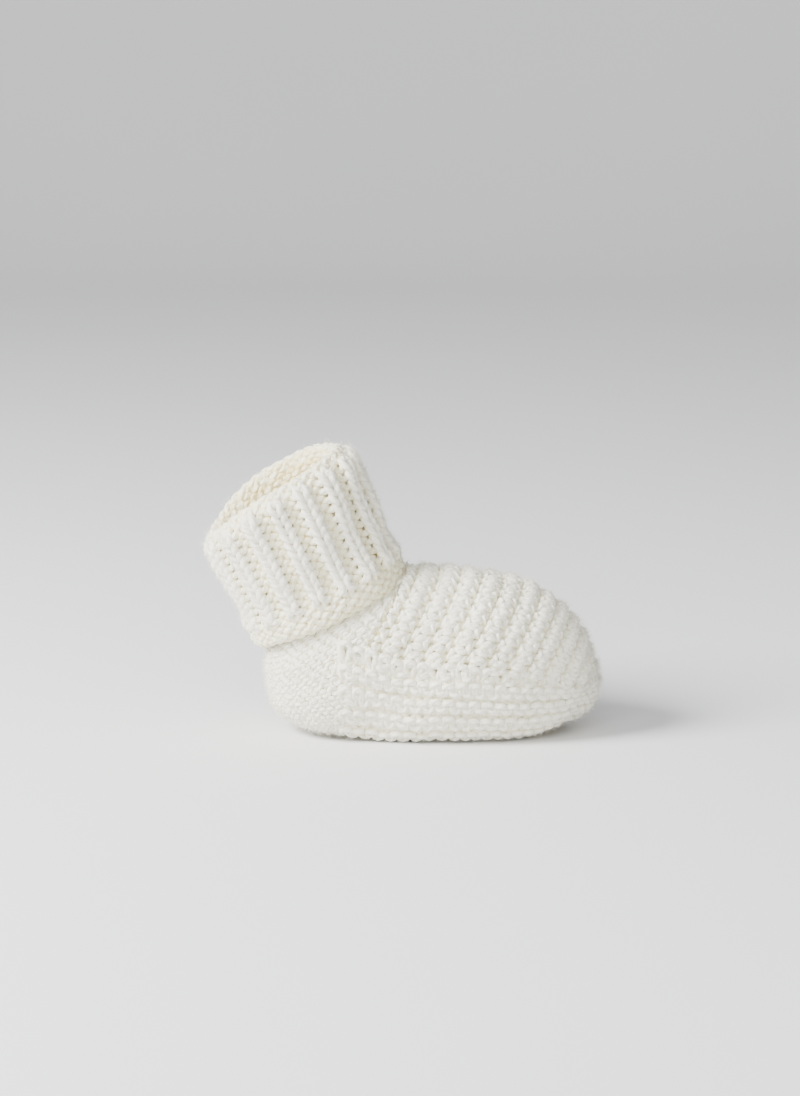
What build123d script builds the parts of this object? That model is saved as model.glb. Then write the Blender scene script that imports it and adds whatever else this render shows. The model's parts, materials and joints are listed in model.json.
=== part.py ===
from build123d import *
import math
import os

# Knitted baby bootie lying on its sole, toe towards +X, leg leaning back towards -X.
# Millimetres, +Z up. The origin is on the floor, under the middle of the overall length.

# Foot
heel_x = -40.0
foot_length = 100.6
foot_width = 53.0
instep_height = 49.8
crease_x = 6.0          # where the instep meets the foot of the leg
sole_thickness = 3.2
foot_wall = 3.2         # thickness of the garter and reverse-stockinette fabric

# Leg and turned-down cuff
leg_lean = 25.0         # degrees back from upright
leg_depth = 41.6        # outside, front to back
leg_width = 35.0        # outside, side to side
leg_wall = 3.0
cuff_turn = 38.5        # from the ankle up to the rim
hem_lift = 1.6          # the hem hangs this far short of the ankle
cuff_wall = 3.4
cuff_flare_depth = 4.0  # how much deeper the cuff is at the rim than at the hem
cuff_flare_width = 1.6
edge_height = 7.6       # top of the cast-off edge
edge_bulge = 0.6        # how far the cast-off edge stands out from the cuff
edge_rounding = 2.0
fold_height = 2.6

# Panels and seams
pick_up_height = 20.0   # where the side band meets the instep, at the middle of the foot
pick_up_rise = 7.0      # how much higher that line is at the heel than at the middle
pick_up_fall = 5.0      # how much lower it is at the toe
pick_up_band = 2.4      # height of the picked-up row
heel_front = -16.0      # where the side band starts, behind the instep
gather_reach = 9.0      # length of the toe gather along the foot
gather_height = 15.0
seam_width = 3.2
ankle_band = 8.0        # height of the plain rows under the ribbing, above the hem

# Clearances
slide_gap = 0.3         # between the leg and the cuff that slides on it
hinge_gap = 0.35        # between the foot and the leg round the ankle pivot
fold_gap = 0.3          # between the top of the leg and the fold over it
pivot_back = 15.0       # the ankle pivot, behind the crease
pivot_drop = 3.8        # and below the instep
pivot_relief = 15.3     # radius kept clear of the foot round the pivot
ankle_cut = 30.0        # degrees below level, from the pivot to the top of the heel

far = 200.0             # larger than the whole object, for cutting blocks
lean = math.radians(leg_lean)
along_leg = (-math.sin(lean), math.cos(lean))
across_leg = (math.cos(lean), math.sin(lean))
toe_x = heel_x + foot_length
pivot = (crease_x - pivot_back, instep_height - pivot_drop)
hem_centre = (crease_x - 7.3 - across_leg[0] * leg_depth / 2, instep_height - 3.5 - across_leg[1] * leg_depth / 2)


def station(front, back, half_width, low_share=0.5, squareness=2.3):
    """One cross-section, as a face: egg-shaped, in the plane through the front and back points."""
    reach = math.hypot(front[0] - back[0], front[1] - back[1])
    up = ((front[0] - back[0]) / reach, (front[1] - back[1]) / reach)
    low, high = low_share * reach, (1 - low_share) * reach
    centre = (back[0] + up[0] * low, 0, back[1] + up[1] * low)
    plane = Plane(origin=centre, x_dir=(0, 1, 0), z_dir=(up[1], 0, -up[0]))
    points = []
    for step in range(16):
        angle = 2 * math.pi * step / 16 - math.pi / 2
        c, s = math.cos(angle), math.sin(angle)
        side = half_width * math.copysign(abs(c) ** (2 / squareness), c)
        rise = (high if s > 0 else low) * math.copysign(abs(s) ** (2 / squareness), s)
        points.append((side, rise))
    with BuildSketch(plane) as face:
        with BuildLine():
            Spline(*points, periodic=True)
        make_face()
    return face.sketch


def leg_point(forward, up):
    """A point of the side view, forward of the leg's middle line and up it from the hem."""
    return (
        hem_centre[0] + across_leg[0] * forward + along_leg[0] * up,
        hem_centre[1] + across_leg[1] * forward + along_leg[1] * up,
    )


def leg_station(depth, width, up):
    return station(leg_point(depth / 2, up), leg_point(-depth / 2, up), width / 2)


# Front and back points of the foot's cross-sections, from the toe round the heel to the ankle.
# Places along the foot are shares of the reach from the crease to the toe or lengths from the
# crease and the heel, heights are shares of the instep height, and the last number is the share
# of the way from the leg's width to the foot's.
toe_reach = toe_x - crease_x
h = instep_height
toe_rows = [
    ((crease_x + toe_reach * 1.000, h * 0.480), (crease_x + toe_reach * 1.000, h * 0.280), -1.15),
    ((crease_x + toe_reach * 0.970, h * 0.585), (crease_x + toe_reach * 0.970, h * 0.190), -0.55),
    ((crease_x + toe_reach * 0.900, h * 0.680), (crease_x + toe_reach * 0.900, h * 0.090), -0.06),
    ((crease_x + toe_reach * 0.780, h * 0.780), (crease_x + toe_reach * 0.780, h * 0.015), 0.40),
    ((crease_x + toe_reach * 0.600, h * 0.880), (crease_x + toe_reach * 0.600, h * -0.035), 0.82),
    ((crease_x + toe_reach * 0.380, h * 0.960), (crease_x + toe_reach * 0.380, h * -0.060), 0.96),
    ((crease_x + toe_reach * 0.150, h * 0.998), (crease_x + toe_reach * 0.120, h * -0.065), 1.00),
    ((crease_x + 0.5, h * 1.000), (heel_x + 33, h * -0.065), 0.96),
    ((crease_x - 2.2, h * 0.992), (heel_x + 20, h * -0.045), 0.82),
]
heel_rows = [
    toe_rows[-1],
    ((crease_x - 4.0, h * 0.975), (heel_x + 8, h * 0.030), 0.62),
    ((crease_x - 5.2, h * 0.958), (heel_x + 1.5, h * 0.180), 0.42),
    ((crease_x - 6.2, h * 0.945), (heel_x + 0.0, h * 0.360), 0.22),
]


def foot_stations(rows, inset):
    """Cross-sections of the foot, set in from its outer surface."""
    faces = []
    for front, back, share in rows:
        reach = math.hypot(front[0] - back[0], front[1] - back[1])
        up = ((front[0] - back[0]) / reach, (front[1] - back[1]) / reach)
        front_in = (front[0] - up[0] * inset, front[1] - up[1] * inset)
        back_in = (back[0] + up[0] * inset, back[1] + up[1] * inset)
        half = (leg_width + (foot_width - leg_width) * share) / 2 - inset
        fullness = max(share, 0)
        faces.append(station(front_in, back_in, half, 0.5 - 0.07 * fullness, 2.3 + 0.2 * fullness))
    return faces


def leg_stations(inset, top):
    """Cross-sections of the leg from the hem up to top, set in from its outer surface."""
    levels = (0, top) if top else (0,)
    return [leg_station(leg_depth - 2 * inset, leg_width - 2 * inset, up) for up in levels]


def side_block(*points):
    """A block cut to an outline in the side view, right across the width."""
    with BuildPart() as block:
        with BuildSketch(Plane.XZ):
            with BuildLine():
                Polyline(*points, close=True)
            make_face()
        extrude(amount=far, both=True)
    return block.part


def disc(radius):
    """A round bar across the width, on the ankle pivot."""
    with BuildPart() as bar:
        with BuildSketch(Plane.XZ):
            with Locations(pivot):
                Circle(radius)
        extrude(amount=far, both=True)
    return bar.part


def ankle_line(shift, reach):
    """A point of the line from the pivot to the top of the heel, moved square to it by shift."""
    down = math.radians(ankle_cut)
    return (
        pivot[0] - reach * math.cos(down) - shift * math.sin(down),
        pivot[1] - reach * math.sin(down) + shift * math.cos(down),
    )


def pick_up_line(raise_by):
    """The line of picked-up stitches in the side view, from behind the heel to past the toe."""
    level = pick_up_height + raise_by
    return [
        (heel_x - far, level + pick_up_rise),
        (heel_front, level + pick_up_rise),
        (crease_x, level),
        (toe_x, level - pick_up_fall),
        (toe_x + far, level - pick_up_fall),
    ]


def cut_piece(fabric, keep, away, name):
    """One piece of a fabric: what lies in every block of keep and in none of away."""
    with BuildPart() as piece:
        add(fabric)
        for block in keep:
            add(block, mode=Mode.INTERSECT)
        for block in away:
            add(block, mode=Mode.SUBTRACT)
    write_piece(piece.part, name)


def write_piece(part, name):
    part.label = name
    export_step(part, f"parts/{name}.step")


os.makedirs("parts", exist_ok=True)
leg_top = cuff_turn - fold_height

# The fabric of the foot: outer form less the hollow, with a flat sole of its own thickness
with BuildPart() as toe_hollow:
    loft(foot_stations(toe_rows[2:], foot_wall))
    split(bisect_by=Plane.XY.offset(sole_thickness), keep=Keep.TOP)

with BuildPart() as toe_fabric:
    loft(foot_stations(toe_rows, 0))
    split(bisect_by=Plane.XY, keep=Keep.TOP)
    add(toe_hollow.part, mode=Mode.SUBTRACT)

# The fabric of the heel up to the hem, and of the leg from there on, in one before the ankle parts them
with BuildPart() as heel_hollow:
    loft(foot_stations(heel_rows, foot_wall) + leg_stations(foot_wall, 0))
    split(bisect_by=Plane.XY.offset(sole_thickness), keep=Keep.TOP)

with BuildPart() as leg_hollow:
    loft([leg_station(leg_depth - 2 * leg_wall, leg_width - 2 * leg_wall, up) for up in (-1, leg_top + 5)])

with BuildPart() as heel_fabric:
    loft(foot_stations(heel_rows, 0) + leg_stations(0, 0))
    split(bisect_by=Plane.XY, keep=Keep.TOP)
    loft(leg_stations(0, leg_top))
    add(heel_hollow.part, mode=Mode.SUBTRACT)
    add(leg_hollow.part, mode=Mode.SUBTRACT)

# Blocks that part the pieces, by where they lie in the side view
foot_side = side_block(ankle_line(0, far), ankle_line(0, -far), (far, -far), (-far, -far))
leg_side = side_block(ankle_line(hinge_gap, far), ankle_line(hinge_gap, -far), (far, far), (-far, far))
relief = disc(pivot_relief)
knuckle = disc(pivot_relief - hinge_gap)
bottom = side_block((-far, -far), (far, -far), (far, sole_thickness), (-far, sole_thickness))
band_side = side_block((-far, -far), (far, -far), *reversed(pick_up_line(0)))
flap_side = side_block((-far, far), (far, far), *reversed(pick_up_line(pick_up_band)))
row_side = side_block(*pick_up_line(0), *reversed(pick_up_line(pick_up_band)))
gather_side = side_block(
    (toe_x - gather_reach, -far), (far, -far), (far, gather_height), (toe_x - gather_reach, gather_height)
)
front_of_back = leg_point(-leg_depth / 2 + seam_width * 2, 0)
behind = side_block(
    (front_of_back[0] - along_leg[0] * far, front_of_back[1] - along_leg[1] * far),
    (front_of_back[0] + along_leg[0] * far, front_of_back[1] + along_leg[1] * far),
    (-2 * far, far),
    (-2 * far, -far),
)
above_band = side_block(leg_point(far, ankle_band), leg_point(-far, ankle_band), leg_point(-far, far), leg_point(far, far))
below_band = side_block(leg_point(far, ankle_band), leg_point(-far, ankle_band), leg_point(-far, -far), leg_point(far, -far))
with BuildPart() as seam_block:
    Box(4 * far, seam_width, 4 * far)
seam_strip = seam_block.part
with BuildPart() as left_block:
    Box(4 * far, 2 * far, 4 * far, align=(Align.CENTER, Align.MIN, Align.CENTER))
left = left_block.part

# Foot
cut_piece(toe_fabric.part, [bottom, left], [seam_strip], "sole_left")
cut_piece(toe_fabric.part, [bottom], [seam_strip, left], "sole_right")
cut_piece(toe_fabric.part, [bottom, seam_strip], [], "sole_seam")
cut_piece(toe_fabric.part, [band_side], [bottom, relief, gather_side], "side_band")
cut_piece(toe_fabric.part, [gather_side], [bottom], "toe_gather")
cut_piece(toe_fabric.part, [row_side], [relief], "pick_up_row")
cut_piece(toe_fabric.part, [flap_side], [relief], "instep_panel")
with BuildPart() as heel_seam_block:
    add(behind)
    add(seam_strip, mode=Mode.INTERSECT)
cut_piece(heel_fabric.part, [foot_side, heel_seam_block.part], [relief], "heel_seam")
cut_piece(heel_fabric.part, [foot_side], [relief, heel_seam_block.part], "heel_cup")

# Leg
with BuildPart() as leg_region:
    add(leg_side)
    add(knuckle)
cut_piece(heel_fabric.part, [leg_region.part, below_band], [heel_seam_block.part], "ankle_band")
cut_piece(heel_fabric.part, [leg_region.part, above_band], [heel_seam_block.part], "rib_leg")
cut_piece(heel_fabric.part, [leg_region.part, heel_seam_block.part], [], "leg_seam")


def cuff_section(up, stand_out):
    """Outer cross-section of the turned-down cuff at a height above the hem."""
    share = up / cuff_turn
    depth = leg_depth + 2 * (slide_gap + cuff_wall + stand_out) + cuff_flare_depth * share
    width = leg_width + 2 * (slide_gap + cuff_wall + stand_out) + cuff_flare_width * share
    return leg_station(depth, width, up)


def cuff_bore(low, high):
    """The hollow of the cuff, which the leg fills but for the slide gap."""
    grow = 2 * slide_gap
    with BuildPart() as bore:
        loft([leg_station(leg_depth + grow, leg_width + grow, up) for up in (low, high)])
    return bore.part


def cuff_ring(low, high, stand_out, bore, rounding):
    """A ring of the cuff between two heights over the hem, with its outer edges rounded off."""
    with BuildPart() as ring:
        loft([cuff_section(low, stand_out), cuff_section((low + high) / 2, stand_out), cuff_section(high, stand_out)])
        if rounding:
            fillet(ring.edges(), rounding)
        add(bore, mode=Mode.SUBTRACT)
    return ring.part


full_bore = cuff_bore(-5, cuff_turn + 5)
turndown_top = leg_top + fold_gap
edge_part = cuff_ring(hem_lift, edge_height, edge_bulge, full_bore, edge_rounding)
body_part = cuff_ring(edge_height, turndown_top, 0, full_bore, 0)
with BuildPart() as fold_bore:
    loft([leg_station(leg_depth - 2 * leg_wall, leg_width - 2 * leg_wall, up)
          for up in (turndown_top - 5, cuff_turn + 5)])
fold_part = cuff_ring(turndown_top, cuff_turn, 0, fold_bore.part, 0)

cut_piece(edge_part, [], [heel_seam_block.part], "cast_off_edge")
cut_piece(body_part, [], [heel_seam_block.part], "cuff_turndown")
cut_piece(fold_part, [], [], "cuff_fold")
with BuildPart() as back_seam:
    add(edge_part)
    add(body_part)
    add(heel_seam_block.part, mode=Mode.INTERSECT)
write_piece(back_seam.part, "cuff_seam")
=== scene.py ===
import bpy
import json
import math
import numpy as np
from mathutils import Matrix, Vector


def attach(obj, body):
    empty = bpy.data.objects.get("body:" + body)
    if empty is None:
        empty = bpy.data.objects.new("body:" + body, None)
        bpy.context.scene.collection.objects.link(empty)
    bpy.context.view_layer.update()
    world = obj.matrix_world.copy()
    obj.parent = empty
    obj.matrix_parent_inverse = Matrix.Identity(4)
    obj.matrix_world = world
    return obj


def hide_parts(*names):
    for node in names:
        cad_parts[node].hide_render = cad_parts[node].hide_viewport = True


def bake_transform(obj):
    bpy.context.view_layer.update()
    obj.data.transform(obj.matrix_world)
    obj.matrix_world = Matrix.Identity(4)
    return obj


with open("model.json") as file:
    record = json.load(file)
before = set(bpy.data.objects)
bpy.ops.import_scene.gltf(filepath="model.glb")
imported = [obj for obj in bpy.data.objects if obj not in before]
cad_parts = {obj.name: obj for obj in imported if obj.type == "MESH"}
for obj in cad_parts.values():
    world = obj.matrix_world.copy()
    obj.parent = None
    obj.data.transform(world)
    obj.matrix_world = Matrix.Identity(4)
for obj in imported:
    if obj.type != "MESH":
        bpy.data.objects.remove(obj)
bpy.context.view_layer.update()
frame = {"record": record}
print("frame loaded")

mm = 0.001
joints = {j["name"]: j for j in frame["record"]["behaviour"]["joints"]}
legAxis = np.array(joints["cuff_unfold"]["axis"], float)
legAxis /= np.linalg.norm(legAxis)
legForward = np.array([legAxis[2], 0.0, -legAxis[0]])


# shaders
class Link:
    # Wraps a node socket, so that sums of sockets and numbers add Math nodes.

    def __init__(self, tree, socket):
        self.tree, self.socket = tree, socket

    def math(self, operation, other, swap=False):
        first, second = (other, self) if swap else (self, other)
        return self.tree.add("ShaderNodeMath", {"operation": operation}, {0: first, 1: second})

    def __add__(self, other):
        return self.math("ADD", other)

    def __mul__(self, other):
        return self.math("MULTIPLY", other)

    def __sub__(self, other):
        return self.math("SUBTRACT", other)

    def __rsub__(self, other):
        return self.math("SUBTRACT", other, swap=True)

    __radd__, __rmul__ = __add__, __mul__


class ShaderTree:
    def __init__(self, name):
        self.material = bpy.data.materials.new(name)
        self.material.use_nodes = True
        self.nodes = self.material.node_tree.nodes
        self.links = self.material.node_tree.links
        self.nodes.clear()

    def add(self, kind, settings=None, inputs=None, output=0):
        node = self.nodes.new(kind)
        for key, value in (settings or {}).items():
            if key == "stops":
                ramp = node.color_ramp.elements
                while len(ramp) < len(value):
                    ramp.new(0.5)
                for element, (place, colour) in zip(ramp, value):
                    element.position, element.color = place, (*colour, 1.0)
            else:
                setattr(node, key, value)
        for key, value in (inputs or {}).items():
            if isinstance(value, Link):
                self.links.new(value.socket, node.inputs[key])
            else:
                node.inputs[key].default_value = value
        return Link(self, node.outputs[output]) if node.outputs else None


woolSettings = {
    "recessShade": (0.84, 0.66, 0.27),     # painted shade between the loops, tinted warm like light bounced inside the wool
    "body": (0.95, 0.895, 0.63),
    "crownLight": (0.975, 0.95, 0.81),    # painted light on the tops of the loops
    "roughness": 0.92,
    "plyBump": 0.55,
    "hairBump": 0.35,
}


def woolMaterial(name, shadeShift, settings=woolSettings):
    # Cream wool: colour by depth in the stitch, painted shade in the hollows and painted light on the loop tops,
    # plies twisted along the yarn, fine hairs over them.
    tree = ShaderTree(name)
    depth = tree.add("ShaderNodeAttribute", {"attribute_name": "depth"}, output=2)
    place = tree.add("ShaderNodeTexCoord", output=3)
    strand = tree.add("ShaderNodeUVMap", {"uv_map": "yarn"})
    mottle = tree.add("ShaderNodeTexNoise", None, {"Vector": place, "Scale": 160.0, "Detail": 3.0})
    along = tree.add("ShaderNodeSeparateXYZ", None, {0: strand})
    around = Link(tree, along.socket.node.outputs[1])
    wool = tree.add(
        "ShaderNodeValToRGB",
        # the ramp runs from painted shade in the hollows through the wool's own cream to painted light on the loop
        # tops
        {"stops": [(0.0, settings["recessShade"]), (0.45, settings["body"]), (1.0, settings["crownLight"])]},
        {0: depth + (mottle - 0.5) * 0.25 - shadeShift},
    )
    plies = ((along + around * 3.0) * (2 * math.pi)).math("SINE", 0.0)
    hairs = tree.add("ShaderNodeTexNoise", None, {"Vector": place, "Scale": 3800.0, "Detail": 2.0})
    plyBump = tree.add("ShaderNodeBump", None,
                       {"Strength": settings["plyBump"], "Distance": 0.00022, "Height": plies})
    woolBump = tree.add("ShaderNodeBump", None, {"Strength": settings["hairBump"], "Distance": 0.00018,
                                                 "Height": hairs, "Normal": plyBump})
    shader = tree.add("ShaderNodeBsdfPrincipled", None, {
        "Base Color": wool, "Roughness": settings["roughness"], "Normal": woolBump,
        "Sheen Weight": 0.35, "Sheen Roughness": 0.5, "Specular IOR Level": 0.15,
        "Subsurface Weight": 0.12, "Subsurface Scale": 0.003, "Subsurface Radius": (1.0, 0.85, 0.55),
    })
    tree.add("ShaderNodeOutputMaterial", None, {"Surface": shader})
    return tree.material


# the second argument moves a piece along the ramp: the cuff towards the painted recess shade, the fuzz towards the
# painted light of the loop tops
woolFoot = woolMaterial("wool_foot", 0.0)
woolCuff = woolMaterial("wool_cuff", 0.10)
woolFuzz = woolMaterial("wool_fuzz", -0.2)
print("wool mixed")


# meshes
def addMesh(name, points, faces, material, depth=None, uv=None):
    # A mesh from arrays of points in millimetres and quads, with its depth and yarn UV.
    mesh = bpy.data.meshes.new(name)
    mesh.vertices.add(len(points))
    mesh.vertices.foreach_set("co", (points * mm).astype(np.float32).ravel())
    mesh.loops.add(faces.size)
    mesh.loops.foreach_set("vertex_index", faces.astype(np.int32).ravel())
    mesh.polygons.add(len(faces))
    mesh.polygons.foreach_set("loop_start", np.arange(0, faces.size, faces.shape[1], dtype=np.int32))
    mesh.polygons.foreach_set("use_smooth", np.ones(len(faces), bool))
    mesh.update(calc_edges=True)
    if depth is not None:
        layer = mesh.attributes.new("depth", "FLOAT", "POINT")
        layer.data.foreach_set("value", depth.astype(np.float32))
    if uv is not None:
        layer = mesh.uv_layers.new(name="yarn")
        layer.data.foreach_set("uv", uv.astype(np.float32).ravel())
    mesh.validate()
    mesh.materials.append(material)
    piece = bpy.data.objects.new(name, mesh)
    bpy.context.scene.collection.objects.link(piece)
    return piece


def normalise(vectors):
    return vectors / np.maximum(np.linalg.norm(vectors, axis=-1, keepdims=True), 1e-9)


def tubes(paths, normals, radius, sides, closed, twist):
    # Round tubes along many paths at once: a circle in the plane square to each path's direction.
    # paths and normals are (rows, points, 3), radius is (rows, points).
    rows, count = paths.shape[:2]
    if closed:
        along = np.roll(paths, -1, 1) - np.roll(paths, 1, 1)
    else:
        along = np.gradient(paths, axis=1)
        radius = radius * np.where((np.arange(count) == 0) | (np.arange(count) == count - 1), 0.05, 1.0)
    along = normalise(along)
    up = normalise(normals - (normals * along).sum(-1, keepdims=True) * along)
    across = np.cross(along, up)
    turn = np.arange(sides) * 2 * math.pi / sides
    ring = (up[:, :, None] * np.cos(turn)[:, None] + across[:, :, None] * np.sin(turn)[:, None])
    points = paths[:, :, None] + ring * radius[:, :, None, None]
    index = np.arange(rows * count * sides).reshape(rows, count, sides)
    here = index if closed else index[:, :-1]
    there = np.roll(index, -1, 1) if closed else index[:, 1:]
    faces = np.stack([here, np.roll(here, -1, 2), np.roll(there, -1, 2), there], -1).reshape(-1, 4)
    if not closed:
        # The two ends narrow almost to a point, and a fan of quads shuts each
        half = np.arange(0, sides - 2, 2)
        start, stop = index[:, 0], index[:, -1]
        first = np.stack([start[:, :1].repeat(len(half), 1), start[:, half + 3], start[:, half + 2],
                          start[:, half + 1]], -1).reshape(-1, 4)
        last = np.stack([stop[:, :1].repeat(len(half), 1), stop[:, half + 1], stop[:, half + 2],
                         stop[:, half + 3]], -1).reshape(-1, 4)
        faces = np.concatenate([faces, first, last])
    strides = np.linalg.norm(np.diff(paths, axis=1), axis=-1)
    length = np.concatenate([np.zeros((rows, 1)), np.cumsum(strides, 1)], 1)
    u = np.broadcast_to((length * twist)[:, :, None], (rows, count, sides)).ravel()
    v = np.broadcast_to(np.arange(sides) / sides, (rows, count, sides)).ravel()
    uv = np.stack([u[faces], v[faces]], -1)
    seam = (uv[..., 1].max(1) - uv[..., 1].min(1)) > 0.5
    uv[..., 1] = np.where(seam[:, None] & (uv[..., 1] < 0.5), uv[..., 1] + 1, uv[..., 1])
    return points.reshape(-1, 3), faces, uv.reshape(-1, 2)


def surfaceNormals(surface, u, v):
    # Outward normals of a surface, from small steps along its two parameters.
    step = 1e-3
    du = surface(u + step, v) - surface(u - step, v)
    dv = surface(u, v + step) - surface(u, v - step)
    return normalise(np.cross(du, dv))


def ripple(points, amount):
    # Slow unevenness of a soft hand-knitted thing: a few crossed sine waves.
    x, y, z = points[..., 0], points[..., 1], points[..., 2]
    broad = np.sin(x / 6.1 + y / 9.0) * np.cos(z / 7.3 - y / 8.0)
    return amount * (broad + 0.6 * np.sin(x / 3.7 - z / 4.9 + y / 5.0))


fuzzSpots = {}


def knit(name, body, surface, stitches, rows, kinds, material, settings, closed=False, replaces=()):
    # Rows of yarn loops over a surface. Along a stitch x = t + a sin 2t, y = h cos t and
    # z = -d cos 2t times the stitch's kind, +1 for knit and -1 for purl, so heads and legs interlock.
    rng = np.random.RandomState(settings["seed"])
    perStitch = settings["steps"]
    t = np.arange(stitches * perStitch + (0 if closed else 1)) * 2 * math.pi / perStitch + math.pi
    t = t[None, :] + np.zeros((rows, 1))
    wrap = stitches if closed else stitches + 2
    column = (t[0] / (2 * math.pi)).round().astype(int) % wrap
    row = np.arange(rows)[:, None] + np.zeros((1, t.shape[1]))
    here = kinds[:rows][:, column % kinds.shape[1]]
    above = kinds[1:rows + 1][:, column % kinds.shape[1]]
    rise = (1 + np.cos(t)) / 2
    kind = here * (1 - rise) + above * rise
    jitter = rng.uniform(-1, 1, (rows, stitches + 3))[:, column % (stitches + 3)] * settings["jitter"]
    x = (t - math.pi + settings["lean"] * np.sin(2 * t)) / (2 * math.pi) / stitches
    y = (row + 0.5 + settings["height"] * (1 + 0.5 * jitter) * np.cos(t)) / rows
    z = -settings["depth"] * np.cos(2 * t) * kind + settings.get("relief", 0) * kind
    z = z + settings.get("ridge", 0) * np.cos(math.pi * (y * rows - settings.get("phase", 0.0)))
    z = z + 0.5 * jitter
    if not closed:
        ends = np.minimum(np.arange(t.shape[1]), t.shape[1] - 1 - np.arange(t.shape[1])) / perStitch
        z = z - settings.get("tuck", 1.2) * np.clip(1 - 2 * ends, 0, 1) ** 2
    paths = surface(x, y)
    normals = surfaceNormals(surface, x, y)
    paths = paths + normals * (z + ripple(paths, settings.get("ripple", 0.35)))[..., None]
    radius = settings["radius"] * (1 + 0.10 * jitter + 0.04 * np.sin(t * 1.7))
    points, faces, uv = tubes(paths, normals, radius, settings["sides"], closed, 0.42)
    # depth in the stitch, 0 in the hollows and 1 on the loop tops; the wool ramp turns it into painted shade and
    # painted light
    low, high = -settings["depth"] - settings["radius"], settings["depth"] + settings["radius"]
    surfaceUp = np.repeat(normals.reshape(-1, 3), settings["sides"], 0)
    centre = np.repeat((paths - normals * z[..., None]).reshape(-1, 3), settings["sides"], 0)
    depth = (((points - centre) * surfaceUp).sum(-1) - low) / (high - low)
    if "rowShade" in settings:
        # rows that turn away into an opening take the warm shade of the recesses
        depth = depth * np.repeat(np.interp(np.arange(rows), *settings["rowShade"]), len(depth) // rows)
    piece = addMesh(name, points, faces, material, np.clip(depth, 0, 1), uv)
    if replaces:
        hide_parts(*replaces)
    fuzzSpots[name] = (points, surfaceUp, np.clip(depth, 0, 1))
    print("knitted", name, len(faces) * 2, "triangles")
    return piece


def lining(name, surface, uRange, vRange, steps, sink, material, closed=False):
    # The felted inside of the fabric: the same surface let in under the loops, given a thickness.
    u, v = np.meshgrid(np.linspace(*uRange, steps[0] + 1)[:steps[0] + (0 if closed else 1)],
                       np.linspace(*vRange, steps[1] + 1))
    points = surface(u, v)
    points = points - surfaceNormals(surface, u, v) * (sink - ripple(points, 0.35))[..., None]
    wide = u.shape[1]
    index = np.arange(u.size).reshape(u.shape)
    here = index if closed else index[:, :-1]
    nxt = np.roll(index, -1, 1) if closed else index[:, 1:]
    faces = np.stack([here[:-1], nxt[:-1], nxt[1:], here[1:]], -1).reshape(-1, 4)
    flat = points.reshape(-1, 3)
    uv = np.stack([u.ravel() * wide, v.ravel() * 9], -1)[faces].reshape(-1, 2)
    # the lining lies under the loops and takes the painted recess shade from the low end of the wool ramp
    piece = addMesh(name, flat, faces, material, np.full(len(flat), 0.12), uv)
    wall = piece.modifiers.new("wall", "SOLIDIFY")
    wall.thickness, wall.offset = 0.9 * mm, -1
    return piece


# the form, in millimetres
footForm = {
    "midX": 16.0, "toeX": 59.4, "halfWidth": 25.4, "heelWidth": 23.2, "top": 48.6,
    "pickUpHeel": 24.5, "startX": -12.0, "creaseX": 2.6, "creaseTop": 49.0,
    "soleInset": 8.5, "soleLift": 2.3, "squareness": 2.25, "wallReach": 1.16,
}


def smooth(x):
    x = np.clip(x, 0, 1)
    return x * x * (3 - 2 * x)


def toeFade(x, f=footForm):
    # 1 behind the middle of the foot, falling to 0 at the toe like a quarter ellipse.
    return np.sqrt(np.clip(1 - np.clip((x - f["midX"]) / (f["toeX"] - f["midX"]), 0, 1) ** 2, 0, 1))


def equator(x, f=footForm):
    # Half-width and level of the widest line round the foot, where the stitches are picked up.
    back = smooth((f["midX"] - x) / (f["midX"] - f["startX"]))
    width = (f["halfWidth"] - (f["halfWidth"] - f["heelWidth"]) * back) * toeFade(x)
    marks = [f["startX"] - 8, f["startX"], 0, 20, 50, 60]
    level = np.interp(x, marks, [26.0, f["pickUpHeel"], 20.8, 19.8, 16.2, 15.4])
    return width, level


def evenRun(x, y):
    # Share of the way along a line of points, by its length.
    run = np.concatenate([[0], np.cumsum(np.hypot(np.diff(x), np.diff(y)))])
    return run / run[-1]


sweepOut = np.sin(np.linspace(0, math.pi / 2, 400))
crestX = footForm["creaseX"] + (footForm["toeX"] - footForm["creaseX"]) * sweepOut
crestRun = evenRun(crestX, footForm["top"] * toeFade(crestX))
edgeX = footForm["startX"] + (footForm["toeX"] - footForm["startX"]) * sweepOut
edgeRun = evenRun(edgeX, equator(edgeX)[0])


def instep(u, v, f=footForm):
    # The flap: arcs over the foot from side to side, u across it from +Y to -Y, v from ankle to toe.
    # Each arc is half a squarish ellipse that leans from the widest line up to the crest.
    bow = math.pi * u
    low = np.interp(v, edgeRun, edgeX)
    crest = np.interp(v, crestRun, crestX)
    width, level = equator(low)
    top = f["top"] + (f["creaseTop"] - f["top"]) * smooth(1 - v * 6)
    height = level + (top - level) * toeFade(crest)
    c, s = np.cos(bow), np.sin(bow)
    power = 2 / f["squareness"]
    lift = np.sign(s) * np.abs(s) ** power
    side = np.sign(c) * np.abs(c) ** power
    return np.stack([low + (crest - low) * lift, width * side, level + (height - level) * lift], -1)


outlineX = footForm["startX"] - 5.5 + (footForm["toeX"] + 5.5 - footForm["startX"]) * sweepOut
outlineRun = evenRun(outlineX, equator(outlineX)[0])

# the wall's profile at even steps by its length: 0 at the sole, 1 at the widest line
wallForm = {"power": 2 / 2.3, "drop": 22, "toeLift": 3.2, "toeLiftFrom": 34, "toeLiftOver": 26}
wallPower = wallForm["power"]
wallBend = np.linspace(2.1, -0.55, 500)
wallAcross = footForm["soleInset"] * (1 - np.sign(np.cos(wallBend)) * np.abs(np.cos(wallBend)) ** wallPower)
wallDown = wallForm["drop"] * np.sign(np.sin(wallBend)) * np.abs(np.sin(wallBend)) ** wallPower
wallRun = evenRun(wallAcross, wallDown)
wallFoot, wallWidest = np.interp([-math.pi / 2, 0], -wallBend, wallRun)
wallShare = (wallRun - wallFoot) / (wallWidest - wallFoot)


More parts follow.
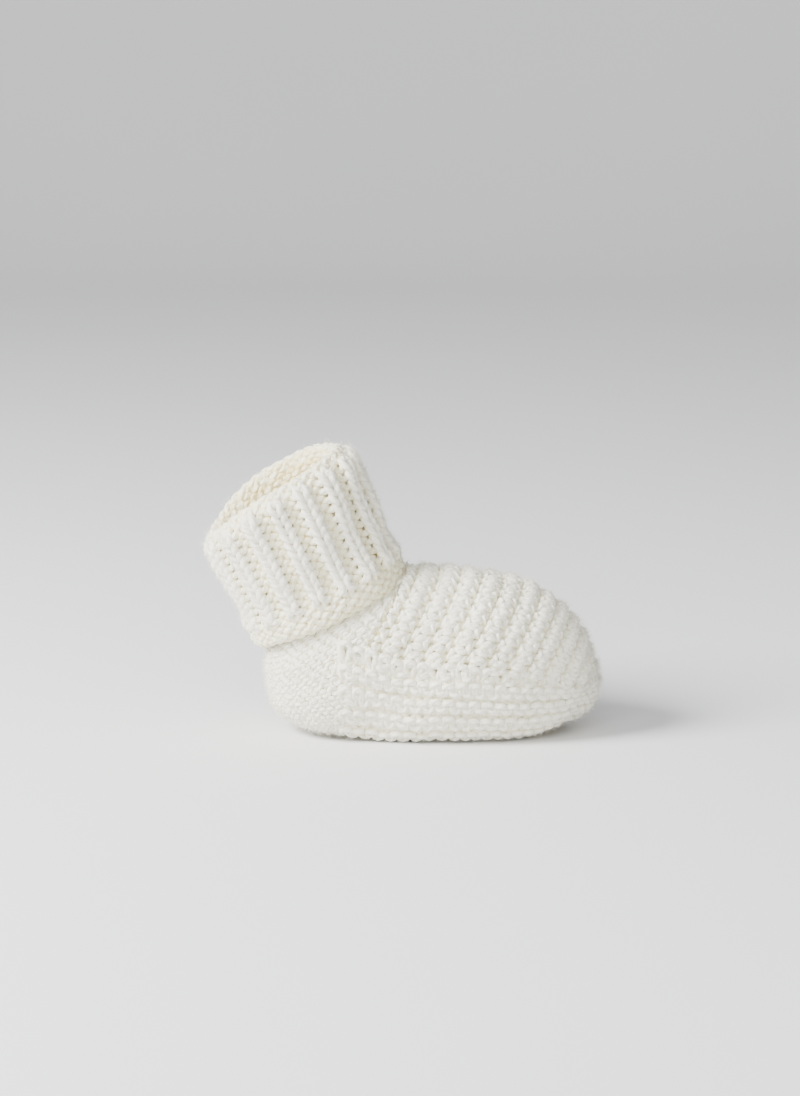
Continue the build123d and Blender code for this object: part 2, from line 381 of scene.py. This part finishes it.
def band(u, v, f=footForm):
    # The wall of the foot: u runs from the heel on -Y round the toe to +Y, v from the sole up
    # and a little past the widest line, each profile a quarter of a squarish ellipse.
    v = v * f["wallReach"]
    run = 1 - np.abs(2 * u - 1)
    x = np.interp(run, outlineRun, outlineX)
    side = np.where(u < 0.5, -1.0, 1.0)
    width, level = equator(x)
    bend = np.interp(v, wallShare, wallBend)
    inset = f["soleInset"] * (1 - np.sign(np.cos(bend)) * np.abs(np.cos(bend)) ** wallPower)
    drop = np.sign(np.sin(bend)) * np.abs(np.sin(bend)) ** wallPower
    ahead = np.clip((x - f["midX"]) / (f["toeX"] - f["midX"]), 0, 1)
    scaleY = np.sqrt(np.clip(1 - ahead ** 2, 0, 1))
    y = side * np.clip(width - inset * scaleY, 0, None)
    z = level - (level - f["soleLift"]) * drop
    toeLift = wallForm["toeLift"] * smooth((x - wallForm["toeLiftFrom"]) / wallForm["toeLiftOver"])
    return np.stack([x - inset * ahead, y, z + toeLift * drop], -1)


heelForm = {
    "level": [0.0, 0.35, 0.7, 1.0, 1.35, 1.7, 2.0],
    "backX": [-37.6, -38.9, -39.2, -38.6, -36.6, -31.5, -25.0],
    "backZ": [28.6, 22.5, 17.5, 12.8, 8.0, 4.0, 2.4],
    "frontX": [3.6, -1.4, -6.8, -10.8, -13.4, -15.4, -16.0],
    "frontZ": [49.0, 42.5, 33.0, 24.5, 14.0, 5.6, 2.3],
    "width": [17.2, 19.6, 21.8, 23.2, 22.6, 19.0, 14.2],
    "edge": [0.0, 0.80, 0.97, 1.0, 1.0, 1.0, 1.0],   # share of the width where the flap begins
}


def curve(levels, values, x):
    # A smooth line through a few points: cubic between them, with slopes from the neighbours.
    levels, values = np.array(levels), np.array(values, float)
    slopes = np.gradient(values, levels)
    i = np.clip(np.searchsorted(levels, x) - 1, 0, len(levels) - 2)
    gap = levels[i + 1] - levels[i]
    s = (x - levels[i]) / gap
    return ((2 * s**3 - 3 * s**2 + 1) * values[i] + (s**3 - 2 * s**2 + s) * gap * slopes[i]
            + (3 * s**2 - 2 * s**3) * values[i + 1] + (s**3 - s**2) * gap * slopes[i + 1])


def heel(u, v, h=heelForm):
    # Heel and ankle: u from the flap on +Y round the back to -Y, v from the sole up to the ankle.
    # Each course is part of an ellipse in a plane that leans as the leg does.
    level = 2 * (1 - np.clip(v, -0.02, 1.02))
    backX, backZ = curve(h["level"], h["backX"], level), curve(h["level"], h["backZ"], level)
    frontX, frontZ = curve(h["level"], h["frontX"], level), curve(h["level"], h["frontZ"], level)
    width = curve(h["level"], h["width"], level)
    edge = np.clip(curve(h["level"], h["edge"], level), 0, 1)
    sweep = math.pi - np.arcsin(edge)
    turn = sweep * (2 * u - 1)
    span = (1 - np.cos(turn)) / (1 - np.cos(sweep))
    x = backX + (frontX - backX) * span
    z = backZ + (frontZ - backZ) * span
    return np.stack([x, -width * np.sin(turn), z], -1)


legForm = {"halfDepth": 19.6, "halfWidth": 16.6, "squareness": 2.2}
cadHem = np.array([-20.2, 0.0, 37.5])

ringTurn = np.linspace(0, 2 * math.pi, 721)
ringX = 24 * np.sign(np.cos(ringTurn)) * np.abs(np.cos(ringTurn)) ** (2 / 2.2)
ringY = 21 * np.sign(np.sin(ringTurn)) * np.abs(np.sin(ringTurn)) ** (2 / 2.2)
ringRun = evenRun(ringX, ringY)


def legSurface(outward, up, u, g=legForm):
    # A ring round the leg: a squarish ellipse let out by outward, at a height up the leg.
    turn = np.interp(np.mod(u, 1.0), ringRun, ringTurn)
    power = 2 / g["squareness"]
    c, s = np.cos(turn), np.sin(turn)
    forward = (g["halfDepth"] + outward) * np.sign(c) * np.abs(c) ** power
    side = (g["halfWidth"] + outward) * np.sign(s) * np.abs(s) ** power
    return (cadHem + forward[..., None] * legForward + side[..., None] * np.array([0, 1.0, 0])
            + up[..., None] * legAxis)


def profileCurve(outward, up):
    # A smooth profile through a few points, run at an even pace.
    marks = np.arange(len(outward))
    fine = np.linspace(0, marks[-1], 500)
    a, b = curve(marks, outward, fine), curve(marks, up, fine)
    run = np.concatenate([[0], np.cumsum(np.hypot(np.diff(a), np.diff(b)))])
    return run, a, b


cuffForm = {
    "outward": [1.4, 1.3, 2.8, 5.0, 5.6, 4.5, 3.7, 3.8, 4.4, 5.1, 5.1, 3.4, 1.0, -0.8, -1.3],
    "up": [5.5, 1.8, -0.8, 0.3, 3.8, 7.4, 11.0, 17.0, 24.0, 31.0, 36.3, 39.4, 39.0, 35.0, 30.0],
    "rise": 3.9, "farRise": 1.3, "frontRise": 3.4, "endsDrop": 3.0, "riseHeight": 36,
}
cuffRun, cuffOut, cuffUp = profileCurve(cuffForm["outward"], cuffForm["up"])


def cuff(u, v):
    # The turned-down cuff: from under the hem, up its outside, over the fold and down inside.
    # Its rim stands higher at the front than at the back.
    run = np.clip(v, 0, 1) * cuffRun[-1]
    turn = np.interp(np.mod(u, 1.0), ringRun, ringTurn)
    c, s = np.cos(turn), np.sin(turn)
    up = np.interp(run, cuffRun, cuffUp)
    # rise = a + b sin turn + c cos turn - d cos turn squared, growing from the hem to the rim
    f = cuffForm
    rise = f["rise"] + f["farRise"] * s + f["frontRise"] * c - f["endsDrop"] * c * c
    return legSurface(np.interp(run, cuffRun, cuffOut), up + rise * np.clip(up / f["riseHeight"], 0, 1), u)


def legOutside(u, v):
    return legSurface(v * 0, v * 36.0 - 1.0, u)


def legInside(u, v):
    return legSurface(v * 0 - 1.6, 34.0 - v * 36.0, u)


def soleSurface(u, v, f=footForm):
    # The sole: u along the foot from toe to heel, v across it, just above the floor.
    x = -24.0 + 68.0 * (1 - u)
    heelRound = np.sqrt(np.clip(1 - np.clip((-8 - x) / 20.0, 0, 1) ** 2, 0.02, 1))
    toeRound = np.sqrt(np.clip(1 - np.clip((x - 16) / 37.0, 0, 1) ** 2, 0.02, 1))
    half = 17.0 * heelRound * toeRound
    return np.stack([x, -half + 2 * half * v, x * 0 + 2.1], -1)


# the knitted pieces
def kindsOf(rows, stitches, rule):
    i, j = np.meshgrid(np.arange(rows + 1), np.arange(stitches), indexing="ij")
    return rule(i, j).astype(float)


def garter(i, j):
    return np.where(i % 2 == 0, 1, -1)


def reverseStockinette(i, j):
    return i * 0 - 1


instepSettings = {"seed": 11, "steps": 16, "sides": 8, "lean": 1.25, "height": 0.90, "depth": 0.80,
                  "ridge": 0.8, "radius": 1.02, "jitter": 0.22, "slot": "garter_wool", "ripple": 0.4, "tuck": 1.0}
bandSettings = dict(instepSettings, seed=12, phase=1.0, ridge=0.6, height=1.0, depth=1.05, radius=1.06,
                    jitter=0.35, lean=1.65)
heelSettings = {"seed": 13, "steps": 16, "sides": 8, "lean": 1.3, "height": 0.84, "depth": 0.60,
                "radius": 0.80, "jitter": 0.22, "slot": "plain_wool", "ripple": 0.25}
ribSettings = {"seed": 14, "steps": 16, "sides": 8, "lean": 1.3, "height": 0.80, "depth": 0.55, "relief": 1.1,
               "radius": 1.14, "jitter": 0.24, "slot": "rib_wool", "ripple": 0.4}

flap = knit("instep_flap", "foot", instep, 18, 26, kindsOf(26, 20, garter), woolFoot, instepSettings,
            replaces=["instep_panel"])
wall = knit("side_wall", "foot", band, 46, 9, kindsOf(9, 48, garter), woolFoot, bandSettings,
            replaces=["side_band", "toe_gather"])
heelKnit = knit("heel_knit", "foot", heel, 27, 17, kindsOf(17, 29, reverseStockinette), woolFoot,
                heelSettings, replaces=["heel_cup"])
soleKnit = knit("sole_knit", "foot", soleSurface, 17, 14, kindsOf(14, 19, garter), woolFoot,
                dict(instepSettings, seed=15, ridge=0.3, depth=0.4, radius=0.85, steps=12),
                replaces=["sole_left", "sole_right"])

cuffRows, ribCount = 23, 34


def ribRule(i, j):
    return np.where(j % 2 == 0, 1, -1)


def cuffRule(i, j):
    # plain rows at the hem and from the fold on, ribbing between
    return np.where((i < 6) | (i > 17), -1, ribRule(i, j))


cuffKnit = knit("cuff_knit", "cuff", cuff, ribCount, cuffRows, kindsOf(cuffRows, ribCount, cuffRule),
                woolCuff, dict(ribSettings, steps=14, rowShade=([18.5, 20.5, 22.0], [1.0, 0.5, 0.3])), closed=True,
                replaces=["cuff_turndown", "cuff_fold", "cast_off_edge"])
legKnit = knit("leg_rib", "leg", legOutside, ribCount, 13, kindsOf(13, ribCount, ribRule), woolCuff,
               dict(ribSettings, seed=16, steps=12, relief=0.3), closed=True, replaces=["rib_leg"])
liningKnit = knit("leg_inside", "leg", legInside, ribCount, 13, kindsOf(13, ribCount, ribRule), woolCuff,
                  dict(ribSettings, seed=17, steps=12, relief=0.4, radius=0.9), closed=True)

linings = {
    "flap_lining": (lining("flap_lining", instep, (0.0, 1.0), (0.0, 0.99), (48, 48), 1.25, woolFoot), "foot"),
    "wall_lining": (lining("wall_lining", band, (0, 1), (-0.08, 0.98), (120, 16), 1.3, woolFoot), "foot"),
    "heel_lining": (lining("heel_lining", heel, (0, 1), (0, 1), (64, 32), 1.1, woolFoot), "foot"),
    "sole_lining": (lining("sole_lining", soleSurface, (0, 1), (0, 1), (48, 16), -0.6, woolFoot), "foot"),
    "cuff_lining": (lining("cuff_lining", cuff, (0, 1), (0.01, 0.99), (96, 96), 0.9, woolCuff, True), "cuff"),
    "leg_lining": (lining("leg_lining", legOutside, (0, 1), (0, 0.98), (96, 24), 0.8, woolCuff, True), "leg"),
}

# loose fibres
fuzzSettings = {"thickness": 0.052, "shortest": 0.8, "longest": 3.8, "highest": 1.8, "floor": 0.3, "seed": 40,
                "count": {"instep_flap": 17000, "side_wall": 16000, "heel_knit": 14000, "cuff_knit": 18500}}


def fuzz(name, count, material, f=fuzzSettings):
    # each fibre is a bent three-sided needle, p = root + length (out t + bend t t), closed at both ends;
    # it is shortened so that it rises no more than the highest over the yarn, and left out near the floor
    rng = np.random.RandomState(f["seed"] + len(name))
    spots, ups, depth = fuzzSpots[name]
    chance = np.clip(depth, 0.15, 1) ** 2
    pick = rng.choice(len(spots), count, p=chance / chance.sum())
    root, up = spots[pick], ups[pick]
    length = f["shortest"] + (f["longest"] - f["shortest"]) * rng.rand(count, 1) ** 2
    out = normalise(up + 1.1 * rng.normal(size=(count, 3)))
    below = np.minimum((out * up).sum(1, keepdims=True), 0)
    out = normalise(out - 2 * below * up)
    bend = 0.5 * np.clip(rng.normal(size=(count, 3)), -1.5, 1.5)
    rise = length * ((out + bend) * up).sum(1, keepdims=True)
    length = length * np.minimum(1, f["highest"] / np.maximum(rise, 0.01))
    middle = root + length * (0.5 * out + 0.25 * bend)
    tip = root + length * (out + bend)
    keep = np.minimum(np.minimum(root[:, 2], middle[:, 2]), tip[:, 2]) > f["floor"]
    root, middle, tip, out = root[keep], middle[keep], tip[keep], out[keep]
    count = len(root)
    side = normalise(np.cross(out, rng.normal(size=(count, 3))))
    other = np.cross(out, side)
    turn = np.arange(3) * 2 * math.pi / 3
    ring = side[:, None] * np.cos(turn)[:, None] + other[:, None] * np.sin(turn)[:, None]
    thick = f["thickness"]
    points = np.concatenate([root[:, None] + thick * ring, middle[:, None] + 0.7 * thick * ring,
                             tip[:, None]], 1)
    sides = np.array([[0, 1, 4, 3], [1, 2, 5, 4], [2, 0, 3, 5]])
    ends = np.array([[0, 2, 1], [3, 4, 6], [4, 5, 6], [5, 3, 6]])
    base = np.arange(count)[:, None, None] * 7
    quads, threes = (base + sides).reshape(-1, 4), (base + ends).reshape(-1, 3)
    loops = np.concatenate([quads.ravel(), threes.ravel()]).astype(np.int32)
    starts = np.concatenate([np.arange(len(quads)) * 4, quads.size + np.arange(len(threes)) * 3])
    starts = starts.astype(np.int32)
    flat = points.reshape(-1, 3)
    mesh = bpy.data.meshes.new("fuzz_" + name)
    mesh.vertices.add(len(flat))
    mesh.vertices.foreach_set("co", (flat * mm).astype(np.float32).ravel())
    mesh.loops.add(len(loops))
    mesh.loops.foreach_set("vertex_index", loops)
    mesh.polygons.add(len(starts))
    mesh.polygons.foreach_set("loop_start", starts)
    mesh.update(calc_edges=True)
    mesh.validate()
    mesh.materials.append(material)
    # every fibre takes the painted light of the loop tops from the high end of the wool ramp
    layer = mesh.attributes.new("depth", "FLOAT", "POINT")
    layer.data.foreach_set("value", np.full(len(flat), 0.8, np.float32))
    piece = bpy.data.objects.new("fuzz_" + name, mesh)
    bpy.context.scene.collection.objects.link(piece)
    print("fuzz", name, len(quads) * 2 + len(threes), "triangles")
    return piece


fibres = {name: fuzz(name, count, woolFuzz) for name, count in fuzzSettings["count"].items()}


def bendAtAnkle(piece):
    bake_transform(piece)


for piece in (flap, heelKnit, linings["flap_lining"][0], linings["heel_lining"][0],
              fibres["instep_flap"], fibres["heel_knit"]):
    bendAtAnkle(piece)
for piece, body in ((wall, "foot"), (soleKnit, "foot"), (cuffKnit, "cuff"), (legKnit, "leg"),
                    (liningKnit, "leg"), (linings["wall_lining"][0], "foot"),
                    (linings["sole_lining"][0], "foot"), (linings["cuff_lining"][0], "cuff"),
                    (fibres["side_wall"], "foot"), (fibres["cuff_knit"], "cuff"),
                    (linings["leg_lining"][0], "leg")):
    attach(piece, body)
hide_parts("heel_seam", "ankle_band")
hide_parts("sole_seam")
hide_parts("pick_up_row")
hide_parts("leg_seam")
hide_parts("cuff_seam")

# floor, light and camera
stageSettings = {"floor": (0.80, 0.80, 0.80), "distance": 1.0, "elevation": 10.0, "widthSeen": 0.2424,
                 "aim": (0.0006, 0.0, 0.0561)}


def sweep():
    # Floor and backdrop in one: flat, then curving up behind like a quarter circle.
    turn = np.linspace(0, math.pi / 2, 24)
    y = np.concatenate([[-3000.0], 1400 + 800 * np.sin(turn), [2200.0]])
    z = np.concatenate([[0.0], 800 - 800 * np.cos(turn), [4000.0]])
    x = np.array([-3000.0, 3000.0])
    points = np.stack([np.tile(x, len(y)), np.repeat(y, 2), np.repeat(z, 2)], -1)
    i = np.arange(len(y) - 1) * 2
    faces = np.stack([i, i + 1, i + 3, i + 2], -1)
    tree = ShaderTree("paper")
    place = tree.add("ShaderNodeTexCoord", output=3)
    grain = tree.add("ShaderNodeTexNoise", None, {"Vector": place, "Scale": 4.0})
    paperTones = [(0.3, (0.79, 0.795, 0.80)), (0.7, (0.81, 0.81, 0.81))]
    paper = tree.add("ShaderNodeValToRGB", {"stops": paperTones}, {0: grain})
    shader = tree.add("ShaderNodeBsdfPrincipled", None, {"Base Color": paper, "Roughness": 0.9})
    tree.add("ShaderNodeOutputMaterial", None, {"Surface": shader})
    piece = addMesh("backdrop", points, faces, tree.material)


def areaLight(name, place, target, size, power, colour=(1, 1, 1)):
    light = bpy.data.lights.new(name, "AREA")
    light.shape, light.size, light.energy, light.color = "DISK", size, power, colour
    lamp = bpy.data.objects.new(name, light)
    lamp.location = place
    lamp.rotation_euler = (Vector(target) - Vector(place)).to_track_quat("-Z", "Y").to_euler()
    bpy.context.scene.collection.objects.link(lamp)


lampSettings = {"key": {"place": (-0.78, -0.36, 0.66), "size": 0.55, "power": 36.5},
                "fill": {"place": (-0.3, -1.6, 0.8), "size": 1.6, "power": 29.0}}
sweep()
for name, lamp in lampSettings.items():
    areaLight(name, lamp["place"], (0, 0, 0.03), lamp["size"], lamp["power"])
world = bpy.data.worlds.new("soft_grey")
world.use_nodes = True
world.node_tree.nodes["Background"].inputs["Color"].default_value = (0.97, 0.97, 1.0, 1)
world.node_tree.nodes["Background"].inputs["Strength"].default_value = 0.60
bpy.context.scene.world = world

cameraData = bpy.data.cameras.new("camera")
cameraData.sensor_fit = "HORIZONTAL"
cameraData.sensor_width = 36.0
cameraData.lens = 36.0 * stageSettings["distance"] / stageSettings["widthSeen"]
camera = bpy.data.objects.new("camera", cameraData)
tilt = math.radians(stageSettings["elevation"])
aim = Vector(stageSettings["aim"])
camera.location = aim + stageSettings["distance"] * Vector((0, -math.cos(tilt), math.sin(tilt)))
camera.rotation_euler = (math.pi / 2 - tilt, 0, 0)
bpy.context.scene.collection.objects.link(camera)
bpy.context.scene.camera = camera
print("stage set")
